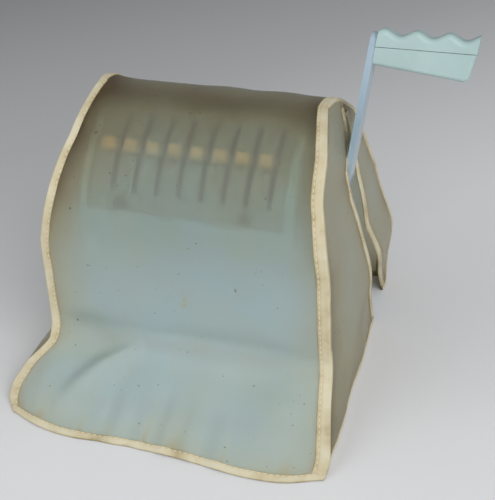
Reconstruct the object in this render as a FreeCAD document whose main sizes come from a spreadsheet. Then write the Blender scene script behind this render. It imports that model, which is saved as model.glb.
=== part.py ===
import FreeCAD, Part
import Sketcher
import math
import os
import re
from FreeCAD import Vector, Placement, Rotation

# Cheque writing machine under a vinyl dust cover. Millimetres, X to the lever side, Y to the back, Z up.
doc = FreeCAD.newDocument("cheque_writer")
sheet = doc.addObject("Spreadsheet::Sheet", "sizes")

# Base and feet
foot_height = 6
foot_radius = 8
base_width = 208
base_front = -84
base_rear = 120
deck_top = 34
apron_top = -58
apron_low = 14
cast_wall = 3
plate_gap = 0.5
plate_thick = 1.5
table_thick = 1.2
slot_reach = 10
# Head
shaft_y = 22
shaft_z = 130
dome_radius = 72
deck_margin = 25
head_width = base_width - 2 * deck_margin
frame_inset = 10
frame_half = head_width / 2 - frame_inset
slot_half = frame_half - 3
lug_half = frame_half + 1
head_wall = 2
roof_slope = 32
back_slope = 14.4
head_rear = base_rear
throat_top = 42
throat_depth = 51
open_low = 14
open_high = 96
window_rim = 8
open_width = head_width - 2 * window_rim
lock_height = 118
lock_radius = 6
# Selectors
columns = 8
column_margin = 14.4
column_pitch = (head_width - 2 * column_margin) / columns
column_shift = 3.5
shaft_radius = 5
sector_thick = 3
type_radius = 86
type_height = 2
type_pitch = 4.44
type_count = 10
travel = 20
key_rise = 50
key_gap = 7.6
key_width = column_pitch - key_gap
key_length = 9.2
key_top = 78.6
slot_width = 4
stem_reach = 74.2
running_gap = 0.3
# Lever and platen
main_y = 11
main_z = 19
bush_length = 8
lug_reach = 9
lever_clear = 8.4
lever_x = head_width / 2 + lever_clear
lever_thick = 4.5
lever_wide = 20
lever_length = 239
lever_lean = 13.5
lever_splay = 5.9
bend_height = 30
lift_arm = 15.45
lift_tip = 2.5
lift_angle = 15
platen_top = 35
post_radius = 1.4
post_inset = 8
post_shift = 6
ink_reach = 10.3
# Grip
grip_length = 70
grip_deep = 22
grip_upper_high = 12
grip_lower_near = 12.5
grip_lower_far = 19.5
finger_pitch = 22.2
finger_depth = 4.2
first_crest = 5
edge_round = 4
# Dust cover
cover_gap = 8
vinyl = 1
tape = 1.2
tape_wide = 9
floor_gap = 0.8
skirt_flare = 36
cover_front = base_front - skirt_flare
cover_ease = 4
side_flare = 10
cover_knee_half = base_width / 2 + cover_ease
cover_foot_half = cover_knee_half + side_flare
cover_waist_half = base_width / 2 + cover_ease / 2
cover_top_half = head_width / 2 + cover_ease
cover_knee = 40
cover_waist = 122
slit_foot = 72
slit_waist = 28
slit_mouth = 56
slit_height = 138
slit_rise = 172
flap_foot = 118
flap_waist = 60
flap_height = 97

# Every size gets its own row and alias in the sheet
table = [(name, value) for name, value in vars().items() if isinstance(value, (int, float))]
for row, (name, value) in enumerate(table, 1):
    sheet.set("A%d" % row, name)
    sheet.set("B%d" % row, repr(value))
    sheet.setAlias("B%d" % row, name)
doc.recompute()


def num(text):
    """The value of an expression over the sheet."""
    found = sheet.evalExpression(expr(text))
    return float(getattr(found, "Value", found))


def expr(text):
    """Writes an expression over the sheet with its aliases in full."""
    word = r"(?<![\w.])([a-z]+(?:_[a-z]+)+|columns|travel|vinyl|tape)(?![\w(])"
    return re.sub(word, r"sizes.\1", str(text))


def part(label):
    body = doc.addObject("PartDesign::Body", label)
    body.Label = label
    return body


def plane(body, role):
    return [o for o in body.Origin.OriginFeatures if o.Role == role][0]


def sketch(body, name, role, lift="0"):
    """Empty sketch on one of the body's origin planes, moved along its normal."""
    made = body.newObject("Sketcher::SketchObject", body.Label + "_" + name)
    made.AttachmentSupport = (plane(body, role), [""])
    made.MapMode = "FlatFace"
    if lift != "0":
        made.setExpression("AttachmentOffset.Base.z", expr(lift))
    return made


def hold(made, kind, picks, text, name):
    """One named size in a sketch, bound to the sheet."""
    value = num(text)
    if kind == "Angle":
        value = math.radians(value)
    made.addConstraint(Sketcher.Constraint(kind, *picks, value))
    made.renameConstraint(made.ConstraintCount - 1, name)
    made.setExpression("Constraints." + name, expr(text))


def outline(body, name, role, points, lift="0", arcs={}):
    """Closed outline whose corners are expressions; arcs gives a radius for a clockwise round stretch."""
    made = sketch(body, name, role, lift)
    spots = [Vector(num(a), num(b), 0) for a, b in points]
    count = len(spots)
    ends = []
    for i in range(count):
        a, b = spots[i], spots[(i + 1) % count]
        if i in arcs:
            r = num(arcs[i])
            way = b - a
            side = Vector(way.y, -way.x, 0).normalize()
            centre = (a + b) * 0.5 + side * math.sqrt(max(r * r - way.Length ** 2 / 4, 0))
            turn = [math.atan2(p.y - centre.y, p.x - centre.x) for p in (b, a)]
            circle = Part.Circle(centre, Vector(0, 0, 1), r)
            made.addGeometry(Part.ArcOfCircle(circle, turn[0], turn[1]), False)
            ends.append((2, 1))
        else:
            made.addGeometry(Part.LineSegment(a, b), False)
            ends.append((1, 2))
    for i in range(count):
        j = (i + 1) % count
        made.addConstraint(Sketcher.Constraint("Coincident", i, ends[i][1], j, ends[j][0]))
    for i, (a, b) in enumerate(points):
        hold(made, "DistanceX", (-1, 1, i, ends[i][0]), a, "across%d" % i)
        hold(made, "DistanceY", (-1, 1, i, ends[i][0]), b, "along%d" % i)
    for i, r in arcs.items():
        hold(made, "Radius", (i,), r, "bend%d" % i)
    return made


def box_outline(body, name, role, left, right, low, high, lift="0"):
    return outline(body, name, role, [(left, low), (right, low), (right, high), (left, high)], lift)


def rounds(body, name, role, circles, lift="0"):
    """Circles given by centre and radius expressions."""
    made = sketch(body, name, role, lift)
    for i, (a, b, r) in enumerate(circles):
        made.addGeometry(Part.Circle(Vector(num(a), num(b), 0), Vector(0, 0, 1), num(r)), False)
        hold(made, "DistanceX", (-1, 1, i, 3), a, "across%d" % i)
        hold(made, "DistanceY", (-1, 1, i, 3), b, "along%d" % i)
        hold(made, "Radius", (i,), r, "round%d" % i)
    return made


def ring_piece(body, name, role, inner, outer, first, last, lift="0"):
    """Part of a ring about the sketch origin between two polar angles in degrees."""
    made = sketch(body, name, role, lift)
    r0, r1 = num(inner), num(outer)
    a0, a1 = math.radians(num(first)), math.radians(num(last))
    middle = Vector(0, 0, 0)

    def at(r, a):
        return Vector(r * math.cos(a), r * math.sin(a), 0)
    made.addGeometry(Part.ArcOfCircle(Part.Circle(middle, Vector(0, 0, 1), r0), a0, a1), False)
    made.addGeometry(Part.ArcOfCircle(Part.Circle(middle, Vector(0, 0, 1), r1), a0, a1), False)
    made.addGeometry(Part.LineSegment(at(r0, a0), at(r1, a0)), False)
    made.addGeometry(Part.LineSegment(at(r0, a1), at(r1, a1)), False)
    made.addConstraint(Sketcher.Constraint("Coincident", 0, 3, -1, 1))
    made.addConstraint(Sketcher.Constraint("Coincident", 1, 3, -1, 1))
    made.addConstraint(Sketcher.Constraint("Coincident", 2, 1, 0, 1))
    made.addConstraint(Sketcher.Constraint("Coincident", 2, 2, 1, 1))
    made.addConstraint(Sketcher.Constraint("Coincident", 3, 1, 0, 2))
    made.addConstraint(Sketcher.Constraint("Coincident", 3, 2, 1, 2))
    hold(made, "Radius", (0,), inner, "inner")
    hold(made, "Radius", (1,), outer, "outer")
    hold(made, "DistanceX", (-1, 1, 1, 1), "(%s) * cos(%s)" % (outer, first), "start_across")
    hold(made, "DistanceX", (-1, 1, 1, 2), "(%s) * cos(%s)" % (outer, last), "end_across")
    hold(made, "DistanceX", (-1, 1, 0, 1), "(%s) * cos(%s)" % (inner, first), "root_start")
    hold(made, "DistanceX", (-1, 1, 0, 2), "(%s) * cos(%s)" % (inner, last), "root_end")
    return made


def pad(body, made, length, side="Symmetric", other=None, flip=False):
    done = body.newObject("PartDesign::Pad", body.Label + "_pad")
    done.Profile = made
    done.SideType = side
    done.Reversed = flip
    done.setExpression("Length", expr(length))
    if other:
        done.setExpression("Length2", expr(other))
    doc.recompute()
    return done


def pocket(body, made, length, side="Symmetric", flip=False):
    done = body.newObject("PartDesign::Pocket", body.Label + "_pocket")
    done.Profile = made
    done.SideType = side
    done.Reversed = flip
    done.setExpression("Length", expr(length))
    doc.recompute()
    return done


def soften(body, radius, wanted):
    """Rounds the edges of the body's last feature that the test picks out."""
    last = body.Tip
    names = []
    for i, edge in enumerate(last.Shape.Edges):
        if wanted(edge):
            names.append("Edge%d" % (i + 1))
    done = body.newObject("PartDesign::Fillet", body.Label + "_round")
    done.Base = (last, names)
    done.setExpression("Radius", expr(radius))
    doc.recompute()
    return done


def along(edge, axis):
    """True where a straight edge runs along X, Y or Z."""
    if edge.Curve.TypeId != "Part::GeomLine":
        return False
    way = edge.tangentAt(edge.FirstParameter)
    return abs(abs(way[axis]) - 1) < 1e-6


def near(edge, x=None, y=None, z=None, gap=0.2):
    c = edge.CenterOfMass
    return all(want is None or abs(got - want) < gap for got, want in ((c.x, x), (c.y, y), (c.z, z)))


def place(thing, x="0", y="0", z="0", turn=None):
    """Placement with its base bound to the sheet."""
    if isinstance(turn, Rotation):
        thing.Placement = Placement(Vector(0, 0, 0), turn)
    elif turn:
        thing.Placement = Placement(Vector(0, 0, 0), Rotation(Vector(*turn[0]), turn[1]))
    for axis, text in (("x", x), ("y", y), ("z", z)):
        thing.setExpression("Placement.Base." + axis, expr(text))
    return thing


def rod(label, radius, length, x, y, z, turn=((0, 1, 0), 90)):
    """Round bar, along X unless turned another way, from its start point."""
    made = doc.addObject("Part::Cylinder", label)
    made.Label = label
    made.setExpression("Radius", expr(radius))
    made.setExpression("Height", expr(length))
    return place(made, x, y, z, turn)


def tube(label, outer, inner, length, x, y, z, turn=((0, 1, 0), 90)):
    a = rod(label + "_outside", outer, length, x, y, z, turn)
    b = rod(label + "_bore", inner, length, x, y, z, turn)
    made = doc.addObject("Part::Cut", label)
    made.Base = a
    made.Tool = b
    made.Label = label
    return made


def group(label, things):
    """Separate like pieces kept as one node."""
    made = doc.addObject("Part::Compound", label)
    made.Links = things
    made.Label = label
    return made


nodes = []


def keep(thing):
    nodes.append(thing)
    return thing


# Base casting: an open-bottomed tray with a sloped front apron, bearing lugs and deck slots
base = keep(part("base_casting"))
body_profile = outline(base, "profile", "YZ_Plane", [
    ("base_front", "foot_height"), ("base_rear", "foot_height"), ("base_rear", "deck_top"),
    ("apron_top", "deck_top"), ("base_front", "apron_low")])
pad(base, body_profile, "base_width")
soften(base, "4 * cast_wall", lambda e: along(e, 2) and abs(e.CenterOfMass.y - num("base_rear")) < 0.2)
soften(base, "2 * cast_wall", lambda e: along(e, 0) and near(e, y=num("apron_top"), z=num("deck_top")))
hollow = outline(base, "hollow", "YZ_Plane", [
    ("base_front + cast_wall", "foot_height"), ("base_rear - cast_wall", "foot_height"),
    ("base_rear - cast_wall", "deck_top - cast_wall"), ("apron_top", "deck_top - cast_wall"),
    ("base_front + cast_wall", "apron_low - cast_wall / 2")])
pocket(base, hollow, "base_width - 2 * cast_wall")
for side, name in (("-1", "left"), ("1", "right")):
    lug = box_outline(base, "lug_" + name, "XY_Plane", side + " * lug_half - bush_length / 2",
                      side + " * lug_half + bush_length / 2", "main_y - lug_reach", "main_y + lug_reach",
                      "main_z - lug_reach")
    pad(base, lug, "deck_top - main_z + lug_reach - cast_wall / 2", "One side")
bearing = rounds(base, "bearing", "YZ_Plane", [("main_y", "main_z", "shaft_radius + 2.2")])
pocket(base, bearing, "2 * lug_half + 12")
openings = box_outline(base, "platen_slot", "XY_Plane", "-slot_half", "slot_half",
                       "shaft_y - slot_reach", "shaft_y + slot_reach", "deck_top + 1")
pocket(base, openings, "cast_wall + 2", "One side")
lever_slot = box_outline(base, "lever_slot", "XY_Plane", "lever_x - 8.5", "lever_x + 7",
                         "main_y - 28", "main_y + 22", "deck_top + 1")
pocket(base, lever_slot, "cast_wall + 2", "One side")

# Bottom plate: pressed steel, closes the tray
bottom = keep(part("bottom_plate"))
sheet_out = box_outline(bottom, "outline", "XY_Plane", "-base_width / 2 + cast_wall + plate_gap",
                        "base_width / 2 - cast_wall - plate_gap", "base_front + cast_wall + plate_gap",
                        "base_rear - cast_wall - plate_gap", "foot_height")
pad(bottom, sheet_out, "plate_thick", "One side")
soften(bottom, "4 * cast_wall", lambda e: along(e, 2) and e.CenterOfMass.y > 0)

# Rubber feet: turned buttons under the plate, four near the corners and one in the middle
feet = []
for i, (sx, fy) in enumerate((("-1", "base_front + 20"), ("1", "base_front + 20"),
                              ("-1", "base_rear - 18"), ("1", "base_rear - 18"), ("0", "0"))):
    foot = doc.addObject("Part::Cone", "foot_%d" % i)
    foot.setExpression("Radius1", expr("foot_radius - 1"))
    foot.setExpression("Radius2", expr("foot_radius + 1"))
    foot.setExpression("Height", expr("foot_height"))
    feet.append(place(foot, sx + " * (base_width / 2 - 20)", fy, "0"))
keep(group("rubber_feet", feet))

# Cheque table: a steel sheet on the deck, pierced for the platen
table = keep(part("cheque_table"))
sheet_out = box_outline(table, "outline", "XY_Plane", "-base_width / 2 + 4", "head_width / 2 - 3",
                        "apron_top + 3", "throat_depth - 1", "deck_top")
pad(table, sheet_out, "table_thick", "One side")
pierced = box_outline(table, "platen_slot", "XY_Plane", "-slot_half", "slot_half",
                      "shaft_y - slot_reach", "shaft_y + slot_reach", "deck_top + 2")
pocket(table, pierced, "4", "One side")
soften(table, "3", lambda e: along(e, 2) and e.CenterOfMass.x < -num("slot_half + 10"))

# Side frames: punched plates that carry the selector shaft and the ink roller
for label, x in (("left_frame", "0.5 - frame_half"), ("right_frame", "0.5 + frame_half")):
    frame = keep(part(label))
    shape = outline(frame, "outline", "YZ_Plane", [
        ("shaft_y - 64", "throat_top + 2"), ("throat_depth + 3", "throat_top + 2"),
        ("throat_depth + 3", "deck_top"), ("head_rear - 16", "deck_top"),
        ("head_rear - 16", "deck_top + 16"), ("shaft_y + 52", "shaft_z + 40"),
        ("shaft_y + 22", "shaft_z + 58"), ("shaft_y - 14", "shaft_z + 60"), ("shaft_y - 46", "shaft_z + 38"),
        ("shaft_y - 64", "shaft_z - 2")])
    pad(frame, shape, "sector_thick")
    reach = "(type_radius + ink_reach)"
    holes = rounds(frame, "holes", "YZ_Plane", [
        ("shaft_y", "shaft_z", "shaft_radius + 0.2"),
        ("shaft_y + %s * cos(45)" % reach, "shaft_z - %s * sin(45)" % reach, "3.3"),
        ("shaft_y - 38", "shaft_z + 4", "9"), ("shaft_y + 46", "shaft_z - 20", "12"),
        ("shaft_y + 4", "shaft_z + 34", "10")])
    pocket(frame, holes, "20")
    soften(frame, "3", lambda e: along(e, 0) and e.CenterOfMass.z > 60)
    place(frame, x)

# Tie bars between the frames
tie_length = "2 * frame_half - sector_thick - 0.5"
tie_start = "0.75 - frame_half + sector_thick / 2"
keep(group("tie_bars", [
    rod("tie_front", "4", tie_length, tie_start, "shaft_y - 58", "throat_top + 9"),
    rod("tie_upper", "4", tie_length, tie_start, "shaft_y + 40", "shaft_z + 30"),
    rod("tie_rear", "4", tie_length, tie_start, "shaft_y + (type_radius + 9.5) * cos(57)",
        "shaft_z - (type_radius + 9.5) * sin(57)")]))

# Back stop of the throat
stop = keep(part("back_stop"))
pad(stop, box_outline(stop, "outline", "YZ_Plane", "throat_depth - 0.5", "throat_depth + 2",
                      "deck_top", "throat_top + 2"), "2 * slot_half")

# Selector shaft and the collars that space its columns
keep(rod("selector_shaft", "shaft_radius", "2 * frame_half + 8", "-frame_half - 3.5", "shaft_y", "shaft_z"))
collars = []
for i in range(int(num("columns")) - 1):
    where = "column_shift + (%d - (columns - 1) / 2) * column_pitch + sector_thick / 2 + running_gap" % i
    collars.append(tube("collar_%d" % i, "shaft_radius + 3", "shaft_radius + running_gap",
                        "column_pitch - sector_thick - 2 * running_gap", where, "shaft_y", "shaft_z"))
keep(group("spacing_collars", collars))

# Detent comb: one bent spring sheet with a finger behind each column
comb = keep(part("detent_comb"))
spine = box_outline(comb, "spine", "YZ_Plane", "shaft_y + 26", "shaft_y + 28", "shaft_z - 8", "shaft_z + 8")
pad(comb, spine, "2 * frame_half - 4")
for i in range(int(num("columns"))):
    middle = "column_shift + (%d - (columns - 1) / 2) * column_pitch" % i
    finger = box_outline(comb, "finger_%d" % i, "XY_Plane", middle + " - 3", middle + " + 3", "shaft_y + 10",
                         "shaft_y + 26.5", "shaft_z - 0.6")
    pad(comb, finger, "1.2", "One side")

# Type selectors: a sector with ten types below, a stem and bent finger plate above


def on_stem(up, across):
    """A point in the side view of a selector, up along its stem and across it."""
    return ("-cos(key_rise) * (%s) + sin(key_rise) * (%s)" % (up, across),
            "sin(key_rise) * (%s) + cos(key_rise) * (%s)" % (up, across))


slots = []
for i in range(int(num("columns"))):
    middle = "column_shift + (%d - (columns - 1) / 2) * column_pitch" % i
    slots.append(middle)
    arm = keep(part("selector_%d" % (i + 1)))
    pad(arm, rounds(arm, "hub", "YZ_Plane", [("0", "0", "shaft_radius + 4")]), "sector_thick")
    rim = ring_piece(arm, "rim", "YZ_Plane", "type_radius - type_height - 12", "type_radius - type_height",
                     "270 - travel - 2", "270 + travel + 2")
    pad(arm, rim, "sector_thick")
    spoke = outline(arm, "spokes", "YZ_Plane", [
        ("-5", "-4"), ("5", "-4"), ("(type_radius - 8) * sin(travel)", "-(type_radius - 8) * cos(travel)"),
        ("(type_radius - 8) * sin(travel - 7)", "-(type_radius - 8) * cos(travel - 7)"), ("0", "-22"),
        ("-(type_radius - 8) * sin(travel - 7)", "-(type_radius - 8) * cos(travel - 7)"),
        ("-(type_radius - 8) * sin(travel)", "-(type_radius - 8) * cos(travel)")])
    pad(arm, spoke, "sector_thick")
    stem = outline(arm, "stem", "YZ_Plane", [
        on_stem("4", "-5"), on_stem("stem_reach - 0.2", "-3"), on_stem("stem_reach - 0.2", "3"),
        on_stem("4", "5")])
    pad(arm, stem, "sector_thick")
    plate = outline(arm, "finger_plate", "YZ_Plane", [
        on_stem("stem_reach - 1.2", "-4"), on_stem("stem_reach", "-4"), on_stem("stem_reach", "4"),
        on_stem("stem_reach - 1.2", "4")])
    pad(arm, plate, "sector_thick / 2", "Two sides", "key_width + sector_thick / 2")
    pocket(arm, rounds(arm, "bore", "YZ_Plane", [("0", "0", "shaft_radius + running_gap")]), "20")
    first = "270 - type_pitch * (type_count - 1) / 2"
    small = ring_piece(arm, "type", "YZ_Plane", "type_radius - type_height - 0.5", "type_radius",
                       first + " - 1.4", first + " + 1.4")
    one = pad(arm, small, "sector_thick - 0.6")
    fan = arm.newObject("PartDesign::PolarPattern", arm.Label + "_types")
    fan.Originals = [one]
    fan.Axis = ([o for o in arm.Origin.OriginFeatures if o.Role == "X_Axis"][0], [""])
    fan.setExpression("Angle", expr("type_pitch * (type_count - 1)"))
    fan.setExpression("Occurrences", expr("type_count"))
    arm.Tip = fan
    doc.recompute()
    place(arm, middle, "shaft_y", "shaft_z")
    cap = keep(part("key_%d" % (i + 1)))
    face = outline(cap, "side", "YZ_Plane", [
        on_stem("stem_reach", "-key_length / 2"), on_stem("key_top", "1 - key_length / 2"),
        on_stem("key_top - 1.2", "0"), on_stem("key_top", "key_length / 2 - 1"),
        on_stem("stem_reach", "key_length / 2")])
    pad(cap, face, "key_width")
    place(cap, middle + " - key_width / 2 - sector_thick / 2", "shaft_y", "shaft_z")
doc.recompute()

# Head housing: drawn sheet shell with a domed top, open throat, keyboard window and rear opening
RUN = "((head_rear - %s / cos(back_slope) - shaft_y - (dome_radius - %s) * sin(roof_slope)) * cos(back_slope)"
RUN += " + (deck_top - shaft_z - (dome_radius - %s) * cos(roof_slope)) * sin(back_slope))"
RUN += " / cos(roof_slope + back_slope)"


def dome(body, name, inset):
    """Side outline of the head, drawn inwards by an inset."""
    run = RUN % (inset, inset, inset)
    radius = "(dome_radius - %s)" % inset
    return outline(body, name, "YZ_Plane", [
        ("shaft_y - " + radius, "deck_top"), ("shaft_y - " + radius, "shaft_z"),
        ("shaft_y + %s * sin(roof_slope)" % radius, "shaft_z + %s * cos(roof_slope)" % radius),
        ("shaft_y + %s * sin(roof_slope) + %s * cos(roof_slope)" % (radius, run),
         "shaft_z + %s * cos(roof_slope) - %s * sin(roof_slope)" % (radius, run)),
        ("head_rear - %s / cos(back_slope)" % inset, "deck_top")], arcs={1: radius})


head = keep(part("head_housing"))
pad(head, dome(head, "outside", "0"), "head_width")
roof_end = num("shaft_z + dome_radius * cos(roof_slope) - %s * sin(roof_slope)" % (RUN % ("0", "0", "0")))
soften(head, "8", lambda e: along(e, 0) and e.CenterOfMass.y > num("shaft_y") and near(e, z=roof_end))
soften(head, "4", lambda e: abs(abs(e.CenterOfMass.x) - num("head_width") / 2) < 0.1 and not along(e, 1))
pocket(head, dome(head, "inside", "head_wall"), "head_width - 2 * head_wall")
throat = box_outline(head, "throat", "XY_Plane", "-head_width", "head_width / 2 - head_wall - 1",
                     "-head_width", "throat_depth", "deck_top - 1")
pocket(head, throat, "throat_top - deck_top + 1", "One side", True)


def fan_points(first, last, inner, outer, y="0", z="0"):
    """Corners of a wedge about a point, wide enough to cut a curved wall between two polar angles."""
    turn = [first, first, "(%s + %s) / 2" % (first, last), last, last]
    reach = [inner, outer, "(%s) * 1.5" % outer, outer, inner]
    return [("%s + (%s) * cos(%s)" % (y, r, a), "%s + (%s) * sin(%s)" % (z, r, a))
            for a, r in zip(turn, reach)]


wedge = fan_points("180 - open_low", "180 - open_high", "dome_radius - 10", "dome_radius + 12",
                   "shaft_y", "shaft_z")
window = outline(head, "window", "YZ_Plane", wedge)
pocket(head, window, "open_width")


def on_back(up, out):
    """A point on the sloped back, given by its height along the slope and its distance outwards."""
    return ("head_rear - (%s) * sin(back_slope) + (%s) * cos(back_slope)" % (up, out),
            "deck_top + (%s) * cos(back_slope) + (%s) * sin(back_slope)" % (up, out))


pocket(head, outline(head, "rear_opening", "YZ_Plane", [
    on_back("22", "-6"), on_back("22", "6"), on_back("126", "6"), on_back("126", "-6")]),
    "2 * slot_half - 12")

# Keyboard panel: curved plate under the window with a slot for each stem
panel = keep(part("keyboard_panel"))
near_end = "180 - key_rise + travel + 5"
far_end = "180 - key_rise - travel - 5"
half_panel = "(open_width / 2 + 4)"
bands = [("lower", near_end, "180 - open_low + 5", "-" + half_panel, half_panel),
         ("upper", "180 - open_high - 4", far_end, "-" + half_panel, half_panel)]
for i in range(len(slots) + 1):
    start = "-" + half_panel if i == 0 else "%s + slot_width / 2" % slots[i - 1]
    end = half_panel if i == len(slots) else "%s - slot_width / 2" % slots[i]
    bands.append(("bar_%d" % i, far_end, near_end, start, end))
for name, first, last, start, end in bands:
    drawn = ring_piece(panel, name, "YZ_Plane", "dome_radius - head_wall - 1.7",
                       "dome_radius - head_wall - 0.2", first, last, "(%s + %s) / 2" % (start, end))
    pad(panel, drawn, "%s - (%s)" % (end, start)).Refine = False
doc.recompute()
place(panel, "0", "shaft_y", "shaft_z")

# Two thumbscrews hold the panel's lower edge
thumbs = []
for name, x in (("left", "column_shift - 49"), ("right", "column_shift + 41")):
    seat = "(dome_radius - head_wall + 0.1)"
    thumbs.append(rod("thumb_" + name, "4.5", "6", x, "shaft_y - %s * cos(open_low + 5)" % seat,
                      "shaft_z + %s * sin(open_low + 5)" % seat, ((1, 0, 0), 90 - num("open_low") - 5)))
keep(group("panel_thumbscrews", thumbs))

# Rear cover on the sloped back, with its lock
lean_back = ((1, 0, 0), num("back_slope"))
rear = keep(part("rear_cover"))
lid = box_outline(rear, "outline", "XZ_Plane", "-slot_half", "slot_half", "16", "132", "-plate_thick")
pad(rear, lid, "plate_thick", "One side")
soften(rear, "6", lambda e: along(e, 1))
pocket(rear, rounds(rear, "lock_hole", "XZ_Plane", [("0", "lock_height", "lock_radius + running_gap")]), "20")
place(rear, "0", "head_rear", "deck_top", lean_back)
barrel = keep(part("lock_barrel"))
pad(barrel, rounds(barrel, "round", "XZ_Plane", [("0", "lock_height", "lock_radius")], "-4"), "18", "One side")
keyway = box_outline(barrel, "keyway", "XZ_Plane", "-0.8", "0.8", "lock_height - 3.5", "lock_height + 3.5",
                     "-1")
pocket(barrel, keyway, "5", "One side")
place(barrel, "0", "head_rear", "deck_top", lean_back)

# Round-head screws of the head and the rear cover
screws = []
for i, (x, y) in enumerate((
        ("-head_width / 2 - 1.5", "throat_depth + 9"), ("-head_width / 2 - 1.5", "head_rear - 20"),
        ("head_width / 2", "throat_depth + 9"), ("head_width / 2", "head_rear - 20"))):
    screws.append(rod("head_screw_%d" % i, "3", "1.5", x, y, "deck_top + 8"))
for i, (x, up) in enumerate((("7 - slot_half", "23"), ("slot_half - 7", "23"), ("7 - slot_half", "125"),
                             ("slot_half - 7", "125"))):
    y, z = on_back(up, "1.5")
    screws.append(rod("rear_screw_%d" % i, "3", "1.4", x, y, z, ((1, 0, 0), num("back_slope") - 90)))
keep(group("machine_screws", screws))

# Main shaft in two bronze bushes
bushes = []
for name, x in (("left", "-lug_half - bush_length / 2"), ("right", "lug_half - bush_length / 2")):
    bushes.append(tube("bush_" + name, "shaft_radius + 2", "shaft_radius + running_gap", "bush_length", x,
                       "main_y", "main_z"))
keep(group("shaft_bushes", bushes))
keep(rod("main_shaft", "shaft_radius", "lever_x + lever_thick / 2 + lug_half + 6", "-lug_half - 6",
         "main_y", "main_z"))
keep(tube("lever_hub", "shaft_radius + 5", "shaft_radius + 0.2", "lever_x - lever_thick / 2 - lug_half - 6",
          "lug_half + 6", "main_y", "main_z"))

# Lever: flat steel bar, bent outwards above the hub and leaning back
lean = Rotation(Vector(1, 0, 0), -num("lever_lean"))
lever = keep(part("lever_arm"))
reach = "(lever_length - bend_height)"
thick = "lever_thick / 2"
pad(lever, outline(lever, "bar", "XZ_Plane", [
    ("-" + thick, "-10.5"), (thick, "-10.5"), (thick, "bend_height - 0.1"),
    ("%s * sin(lever_splay) + %s * cos(lever_splay)" % (reach, thick),
     "bend_height + %s * cos(lever_splay) - %s * sin(lever_splay)" % (reach, thick)),
    ("%s * sin(lever_splay) - %s * cos(lever_splay)" % (reach, thick),
     "bend_height + %s * cos(lever_splay) + %s * sin(lever_splay)" % (reach, thick)),
    ("-" + thick, "bend_height + 0.1")]), "lever_wide")
soften(lever, "lever_wide / 2 - 0.5", lambda e: along(e, 0) and e.CenterOfMass.z < 0)
soften(lever, "lever_wide / 2 - 3", lambda e: e.CenterOfMass.z > num("lever_length") - 8 and not along(e, 1)
       and abs(abs(e.CenterOfMass.y) - num("lever_wide") / 2) < 0.1 and e.Length < 6)
pocket(lever, rounds(lever, "bore", "YZ_Plane", [("0", "0", "shaft_radius + 0.2")]), "20")
place(lever, "lever_x", "main_y", "main_z", lean)
keep(rod("hub_cap", "8", "3.5", "lever_x + lever_thick / 2 + 0.1", "main_y", "main_z"))

# Two lifter arms turn with the shaft and raise the platen
lifters = []
for name, x in (("left", "20 - frame_half"), ("right", "frame_half - 20")):
    arm = part("lifter_" + name)
    pad(arm, rounds(arm, "hub", "YZ_Plane", [("0", "0", "shaft_radius + 1.6")]), "6")
    tip = ("lift_arm * cos(lift_angle)", "-lift_arm * sin(lift_angle)")
    pad(arm, rounds(arm, "tip", "YZ_Plane", [tip + ("lift_tip",)]), "6")
    sway = ("lift_tip * sin(lift_angle)", "lift_tip * cos(lift_angle)")
    pad(arm, outline(arm, "web", "YZ_Plane", [
        (sway[0], sway[1]), (tip[0] + " + " + sway[0], tip[1] + " + " + sway[1]),
        (tip[0] + " - " + sway[0], tip[1] + " - " + sway[1]), ("-" + sway[0], "-" + sway[1])]), "6")
    pocket(arm, rounds(arm, "bore", "YZ_Plane", [("0", "0", "shaft_radius + 0.2")]), "20")
    lifters.append(place(arm, x, "main_y", "main_z"))
keep(group("lifter_arms", lifters))

# Platen: an angle bar on two guide posts with a hard rubber pad
foot_z = "main_z - lift_arm * sin(lift_angle) + lift_tip + 0.4"
platen = keep(part("platen_bar"))
pad(platen, outline(platen, "angle", "YZ_Plane", [
    ("shaft_y + 3.4", foot_z), ("shaft_y + 8.6", foot_z), ("shaft_y + 8.6", "platen_top - 3"),
    ("shaft_y - 8", "platen_top - 3"), ("shaft_y - 8", "platen_top - 6"), ("shaft_y + 3.4", "platen_top - 6")
    ]), "2 * slot_half - 6")
post_places = (("left", "post_inset - slot_half"), ("right", "slot_half - post_inset"))
bores = [(x, "shaft_y + post_shift", "post_radius + running_gap") for name, x in post_places]
pocket(platen, rounds(platen, "guides", "XY_Plane", bores, "platen_top - 4"), "20", "One side")
cushion = keep(part("platen_pad"))
strip = box_outline(cushion, "strip", "YZ_Plane", "shaft_y - 7", "shaft_y + 7", "platen_top - 3", "platen_top")
pad(cushion, strip, "2 * slot_half - 10")
keep(group("guide_posts", [
    rod("post_" + name, "post_radius", "20", x, "shaft_y + post_shift", "foot_height + plate_thick",
        ((0, 0, 1), 0)) for name, x in post_places]))

# Return spring wound round the main shaft
spring = keep(doc.addObject("Part::Feature", "return_spring"))
spring.Label = "return_spring"
coil = Part.makeHelix(2.2, 15.4, num("shaft_radius") + 2.2)
start = coil.Edges[0].Vertexes[0].Point
ring = Part.Wire([Part.makeCircle(0.8, start, coil.Edges[0].tangentAt(coil.Edges[0].FirstParameter))])
spring.Shape = Part.Wire(coil).makePipeShell([ring], True, True)
place(spring, "20", "main_y", "main_z", ((0, 1, 0), 90))

# Ink roller: felt on a steel core, turning in the frames behind the types
inker = "(type_radius + ink_reach)"
ink_y, ink_z = "shaft_y + %s * cos(45)" % inker, "shaft_z - %s * sin(45)" % inker
keep(rod("ink_core", "3", "2 * frame_half + 2.6", "-frame_half - 0.8", ink_y, ink_z))
keep(tube("ink_felt", "10", "3.2", "2 * slot_half - 8", "9 - slot_half", ink_y, ink_z))

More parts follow.
